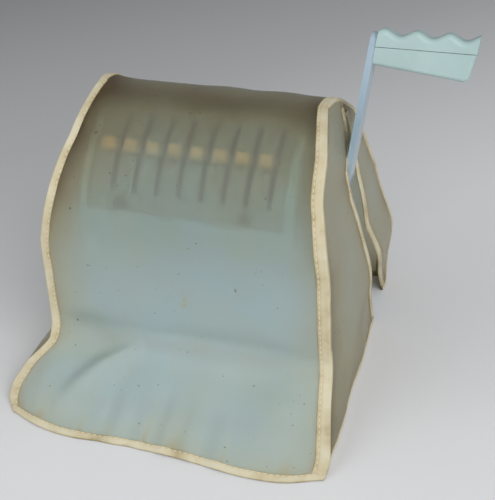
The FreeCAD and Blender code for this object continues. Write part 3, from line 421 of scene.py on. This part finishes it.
def side_sheet(name, hand, z, start, end, belly, node):
    """A side between two edges at each height."""
    t = np.linspace(0, 1, 110)[None, :]
    start, end = start[:, None], end[:, None]
    y = start + (end - start) * t
    points = side_points(hand, y, z[:, None] + 0 * y, start, end, belly)
    wide = end - start
    edge_stain = np.exp(-t * wide / 0.01) + np.exp(-(1 - t) * wide / 0.01)
    yellowing, side_haze, side_clear = 0.33, 0.38, 0.7
    age_and_shade = 0.3 * (edge_stain + np.exp(-points[..., 2] / 0.014)) + yellowing
    marks = {"age_and_shade": np.minimum(most_age, age_and_shade), "haze": side_haze + 0 * age_and_shade, "clear": side_clear + 0 * age_and_shade}
    made = surface(name, points, frosted, points[..., 1:], marks)
    on_cover(thicken(made, vinyl_wall * hand), "vinyl", node)
    return made


def left_belly(t, h):
    """Soft swell of the whole left side."""
    slack = 0.009 * np.sin(np.pi * np.clip(t, 0, 1) ** 0.6) * hump(h, 0.06, 0.03)
    swell = 0.006 * np.sin(np.pi * np.clip(t, 0, 1)) * np.sin(np.pi * np.clip(0.1 + h / 0.24, 0, 1))
    return slack + swell


left_front, left_back = seam_line(-1)
z = np.concatenate([np.linspace(floor_gap, 0.18, 90), np.linspace(0.1815, left_front[-1, 2] - 0.0003, 60)])
left_start = np.interp(z, left_front[:, 2], left_front[:, 1])
left_end = np.interp(z, left_back[:, 2], left_back[:, 1])
side_sheet("vinyl_left_side", -1, z, left_start, left_end, left_belly, "cover_left_side")
right_seam, right_back = seam_line(1)


def slit_front(z):
    """Free edge of the slit side's front half: forward up the side and back again over the lever."""
    edge = np.interp(z, [0, 0.120, 0.138, 0.160, 0.172, 0.215],
                     [0.072, 0.034, 0.0285, 0.030, 0.0555, 0.058])
    return np.minimum(edge, np.interp(z, right_back[:, 2], right_back[:, 1]))


def slit_rear(z):
    """Free edge of the rear flap."""
    return np.interp(z, [0, 0.097, 0.138, 0.172, 0.215], [0.118, 0.060, 0.058, 0.062, 0.064])


def front_belly(t, h):
    """Belly of the front half: a soft swell, with the free edge springing out below the lever."""
    swell = 0.004 * np.sin(np.pi * np.clip(t, 0, 1)) * hump(h, 0.07, 0.05)
    return swell + 0.004 * np.clip(t, 0, 1) ** 3 * hump(h, 0.085, 0.04)


def flap_belly(t, h):
    """The flap stands out a little from its seam to its free edge."""
    swell = 0.003 * np.sin(np.pi * np.clip(t, 0, 1)) * hump(h, 0.07, 0.05)
    return swell + 0.002 * (1 - np.clip(t, 0, 1)) * hump(h, 0.09, 0.04)


def yield_to_lever(piece):
    """Gives the vinyl before the lever its own mesh."""
    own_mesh(piece)


def fold_back(piece):
    """Gives the flap its own mesh."""
    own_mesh(piece)


z = np.concatenate([np.linspace(floor_gap, 0.18, 120), np.linspace(0.1812, right_seam[-1, 2] - 0.0003, 50)])
seam_y = np.interp(z, right_seam[:, 2], right_seam[:, 1])
right_front = side_sheet("vinyl_right_front", 1, z, seam_y, slit_front(z), front_belly,
                         "cover_right_front")
yield_to_lever(right_front)
z = np.linspace(floor_gap, 0.1975, 120)
seam_y = np.interp(z, right_back[:, 2], right_back[:, 1])
right_flap = side_sheet("vinyl_right_flap", 1, z, slit_rear(z), seam_y, flap_belly,
                        "cover_right_flap")
fold_back(right_flap)

# Bindings: cream woven bias tape folded over the raw edges and stitched through, along both seams and
# down both sides of the slit. Flat fold, soiled at its edges, with a row of stitches.
woven, n, l, s = finish("cream_tape", (0.66, 0.57, 0.34), 0.8)
soil = n.new("ShaderNodeAttribute")
soil.attribute_name = "soil"
worn = n.new("ShaderNodeMath")
worn.operation = "MULTIPLY_ADD"
l.new(soil.outputs["Fac"], worn.inputs[0])
worn.inputs[1].default_value = 0.34
l.new(noise(n, l, 60, 6), worn.inputs[2])
cream_to_brown = [(0.38, (0.62, 0.57, 0.41)), (0.6, (0.54, 0.47, 0.3)), (0.85, (0.32, 0.25, 0.13))]
l.new(ramp(n, l, worn.outputs["Value"], cream_to_brown), s.inputs["Base Color"])
where = n.new("ShaderNodeTexCoord")
weave = n.new("ShaderNodeTexChecker")
weave.inputs["Scale"].default_value = 1400
l.new(where.outputs["UV"], weave.inputs["Vector"])
relief(n, l, s, weave.outputs["Fac"], 0.25, 0.0003)
thread, n, l, s = finish("sewing_thread", (0.7, 0.62, 0.42), 0.7)
relief(n, l, s, noise(n, l, 2500, 2), 0.4, 0.0002)


def unit(v):
    """Vectors brought to length one; a zero one stays zero."""
    return v / np.maximum(np.linalg.norm(v, axis=-1, keepdims=True), 1e-12)


tape_columns = 21
stitch_place = 0.68
stitch_first, stitch_last = 3, 17


def binding(name, rails, wall, *nodes):
    """A tape through rows of points across its width, thickened outwards, with rounded edges and ends."""
    fine = np.linspace(0, rails.shape[1] - 1, tape_columns)
    low = np.minimum(fine.astype(int), rails.shape[1] - 2)
    share = (fine - low)[None, :, None]
    rails = rails[:, low] * (1 - share) + rails[:, low + 1] * share
    place = np.linspace(-1, 1, tape_columns)
    along = np.gradient(rails, axis=0)
    over = np.gradient(rails, axis=1)
    out = unit(np.cross(over, along))
    lift = wall * (1 - 0.6 * place ** 8 - 0.4 * hump(np.abs(place), stitch_place, 0.1))[None, :, None]
    ring = np.concatenate([rails + out * lift, (rails - out * 0.0003)[:, ::-1]], 1)
    ring[..., 2] = np.maximum(ring[..., 2], 0)
    ring = np.concatenate([ring[:1] * 0 + rails[:1].mean(1, keepdims=True), ring,
                           ring[-1:] * 0 + rails[-1:].mean(1, keepdims=True)], 0)
    run = np.concatenate([[0], np.cumsum(np.linalg.norm(np.diff(ring[:, 2], axis=0), axis=1))])
    wide = np.concatenate([[0], np.cumsum(np.linalg.norm(np.diff(ring[2], axis=0), axis=1))])
    uv = np.stack(np.broadcast_arrays(wide[None, :], run[:, None]), -1)
    rub = 0.7 * place ** 6 + 0.4 * hump(np.abs(place), stitch_place, 0.12)
    soil = np.broadcast_to(np.concatenate([rub, rub]), ring.shape[:2])
    made = surface(name, ring, woven, uv, {"soil": soil}, loop=True)
    return on_cover(made, "tape", *nodes), rails, out


def stitches(name, rails, out, place, lift, pitch=0.0042):
    """A row of thread stitches: rounded seeds set along a line of a tape at even steps."""
    line = rails[:, place]
    run = np.concatenate([[0], np.cumsum(np.linalg.norm(np.diff(line, axis=0), axis=1))])
    end_gap = 0.004
    at = np.arange(end_gap, run[-1] - end_gap, pitch)
    middle = np.stack([np.interp(at, run, line[:, k]) for k in range(3)], -1)
    up = unit(np.stack([np.interp(at, run, out[:, place, k]) for k in range(3)], -1))
    way = unit(np.stack([np.interp(at + 0.0005, run, line[:, k]) for k in range(3)], -1) - middle)
    side = np.cross(up, way)
    a = np.linspace(0, 2 * np.pi, 8, endpoint=False)[None, :]
    b = np.linspace(0, np.pi, 6)[:, None]
    long, wide, high = 0.0016, 0.00035, 0.0003
    seed = np.broadcast_arrays(long * np.cos(b), wide * np.sin(b) * np.cos(a), high * np.sin(b) * np.sin(a))
    seed = np.stack(seed, -1)
    points = (middle + up * lift)[:, None, None] + seed[None, ..., :1] * way[:, None, None]
    points = points + seed[None, ..., 1:2] * side[:, None, None] + seed[None, ..., 2:] * up[:, None, None]
    count, rows, cols = points.shape[:3]
    index = np.arange(count * rows * cols).reshape(count, rows, cols)
    index = np.concatenate([index, index[:, :, :1]], 2)
    quads = np.stack([index[:, :-1, :-1], index[:, 1:, :-1], index[:, 1:, 1:], index[:, :-1, 1:]], -1)
    quads = quads.reshape(-1, 4)
    mesh = bpy.data.meshes.new(name)
    mesh.from_pydata(points.reshape(-1, 3), [], quads)
    mesh.polygons.foreach_set("use_smooth", np.ones(len(quads), bool))
    mesh.materials.append(thread)
    made = bpy.data.objects.new(name, mesh)
    bpy.context.scene.collection.objects.link(made)
    return on_cover(made, "tape")


hem_wide = 0.0046
seam_run = np.linspace(hem_wide, profile_run[-1] - hem_wide, 500)
for hand, name in ((-1, "left"), (1, "right")):
    spread = 1.15 if hand > 0 else 0.85
    inward = hand * (1 - np.array([0.0064, 0.005, 0.003, 0.001]) * spread / 0.1)
    over = strip_points(inward[None, :], seam_run[:, None])
    corner = strip_points(np.full(len(seam_run), float(hand)), seam_run)
    down = np.stack([0 * seam_run, np.interp(seam_run, profile_run, slope[:, 1]),
                     -np.interp(seam_run, profile_run, slope[:, 0])], 1)
    edge = corner + np.array([hand * 0.0005, 0, 0])
    beside = edge[:, None] + down[:, None] * np.array([0.0008, 0.0025, 0.005])[None, :, None]
    rails = np.concatenate([over, edge[:, None] - down[:, None] * 0.0002, beside], 1)
    if hand < 0:
        rails = rails[:, ::-1]
    piece, rails, out = binding("tape_seam_" + name, rails, 0.0007, "seam_tape_" + name)
    stitches("stitches_seam_" + name, rails, out, stitch_first if hand > 0 else stitch_last, 0.0005)

above_hem = 0.0082
z = np.concatenate([np.linspace(above_hem, 0.16, 110), np.linspace(0.1605, 0.196, 50)])[:, None]
start = np.interp(z, right_seam[:, 2], right_seam[:, 1])
inset = np.array([0.006, 0.004, 0.002, 0.0002, -0.0004])[None, :]
fold = 0.0008
rails = side_points(1, slit_front(z) - inset, z + 0 * inset, start, slit_front(z), front_belly)
rails[:, -1, 0] -= fold
piece, rails, out = binding("tape_slit_front", rails, 0.0008, "slit_tape_front")
yield_to_lever(piece)
yield_to_lever(stitches("stitches_slit_front", rails, out, stitch_first, 0.0006))
z = np.linspace(above_hem, 0.189, 150)[:, None]
end = np.interp(z, right_back[:, 2], right_back[:, 1])
rails = side_points(1, slit_rear(z) + inset[:, ::-1], z + 0 * inset, slit_rear(z), end, flap_belly)
rails[:, 0, 0] -= fold
piece, rails, out = binding("tape_slit_rear", rails, 0.0008, "slit_tape_rear")
fold_back(piece)
fold_back(stitches("stitches_slit_rear", rails, out, stitch_last, 0.0006))

# Hem binding: the same tape in one length, from the slit round the front, the left side and the back
# to the flap. It lies close on the floor and is sewn through like the others.
rise = np.array([0.0, 0.0004, 0.0017, 0.0032, 0.0044])[None, :]
z = floor_gap + rise
short_of_seam = 0.0004
y = np.linspace(0.0715, -0.117, 120)[:, None]
bound = np.interp(z, right_seam[:, 2], right_seam[:, 1])
hem_right = side_points(1, np.maximum(y, bound + short_of_seam), z + 0 * y, bound, slit_front(z), front_belly)
to_seam = 0.997
hem_front = strip_points(np.linspace(to_seam, -to_seam, 220)[:, None], rise * 1.25)
bound = np.interp(z, left_front[:, 2], left_front[:, 1])
bound_back = np.interp(z, left_back[:, 2], left_back[:, 1])
y = np.linspace(-0.11, 0.137, 150)[:, None]
y = np.clip(y, bound + short_of_seam, bound_back - short_of_seam)
hem_left = side_points(-1, y, z + 0 * y, bound, bound_back, left_belly)
hem_back = strip_points(np.linspace(-to_seam, to_seam, 150)[:, None], profile_run[-1] - rise)
bound = np.interp(z, right_back[:, 2], right_back[:, 1])
y = np.linspace(0.137, 0.1185, 20)[:, None]
hem_flap = side_points(1, np.minimum(y, bound - short_of_seam), z + 0 * y, slit_rear(z), bound, flap_belly)
rails = np.concatenate([hem_right, hem_front, hem_left, hem_back, hem_flap])
step = np.linalg.norm(np.diff(rails[:, 2], axis=0), axis=1)
least_step = 0.0002
rails = rails[np.concatenate([[True], step > least_step])]
piece, rails, out = binding("tape_hem", rails, 0.0009, "hem_tape")
stitches("stitches_hem", rails, out, stitch_last, 0.0007)

# Camera of the photograph, worked out from the lever, grip, seams and hem. A plain floor rises behind
# the part, its colour darkening to the back left as painted shade; a large key light, a weaker fill and a
# pale sky light it.
eye = Vector((0.2086, -0.5669, 0.4678))
az, el, roll = np.radians((17.317, 31.839, -1.267))
ahead = Vector((-np.sin(az) * np.cos(el), np.cos(az) * np.cos(el), -np.sin(el)))
side = ahead.cross(Vector((0, 0, 1))).normalized()
up = side.cross(ahead)
right_way = side * np.cos(roll) + up * np.sin(roll)
up_way = up * np.cos(roll) - side * np.sin(roll)
lens = bpy.data.cameras.new("camera")
lens.sensor_fit = "HORIZONTAL"
lens.sensor_width = 36
photo_width_px = 495
focal_px = 938.19
lens.lens = focal_px / photo_width_px * lens.sensor_width
camera = bpy.data.objects.new("camera", lens)
turned = Matrix((right_way, up_way, -ahead)).transposed().to_4x4()
camera.matrix_world = Matrix.Translation(eye) @ turned
bpy.context.scene.collection.objects.link(camera)
bpy.context.scene.camera = camera

ground, n, l, s = finish("pale_floor", (0.68, 0.68, 0.69), 0.9)
where = n.new("ShaderNodeTexCoord")
painted_falloff_way = n.new("ShaderNodeVectorMath")
painted_falloff_way.operation = "DOT_PRODUCT"
painted_falloff_way.inputs[1].default_value = (-0.6, 0.36, 0)
l.new(where.outputs["Object"], painted_falloff_way.inputs[0])
# Painted shade: the floor's grey darkens from the front right to the back left, standing in for the lights'
# falloff.
painted_falloff_greys = [(0.0, (0.74, 0.74, 0.745)), (0.3, (0.5, 0.5, 0.505)), (0.8, (0.3, 0.3, 0.305))]
l.new(ramp(n, l, painted_falloff_way.outputs["Value"], painted_falloff_greys), s.inputs["Base Color"])
flat_to = 1.2
gx, gs = np.meshgrid(np.linspace(-4, 4, 40), np.linspace(0, 1, 120), indexing="ij")
gy = -2 + gs * 4.6
gz = 0.9 * ((np.maximum(gy, flat_to) - flat_to) / 1.4) ** 2
floor = surface("floor", np.stack([gx, gy, gz], -1).transpose(1, 0, 2), ground)


def lamp(name, place, aim, power, size):
    """A square area light at a place, turned towards a point."""
    made = bpy.data.lights.new(name, "AREA")
    made.energy = power
    made.size = size
    thing = bpy.data.objects.new(name, made)
    thing.location = place
    thing.rotation_euler = (Vector(aim) - Vector(place)).to_track_quat("-Z", "Y").to_euler()
    bpy.context.scene.collection.objects.link(thing)


lamp("key_light", (1.0, -1.2, 1.2), (0, 0, 0.1), 24, 1.3)
lamp("fill_light", (-1.1, -0.9, 1.0), (0, 0, 0.1), 8, 1.4)
world = bpy.data.worlds.new("studio")
world.use_nodes = True
world.node_tree.nodes["Background"].inputs["Color"].default_value = (0.85, 0.87, 0.9, 1)
world.node_tree.nodes["Background"].inputs["Strength"].default_value = 0.45
bpy.context.scene.world = world
bpy.context.scene.view_settings.view_transform = "Standard"
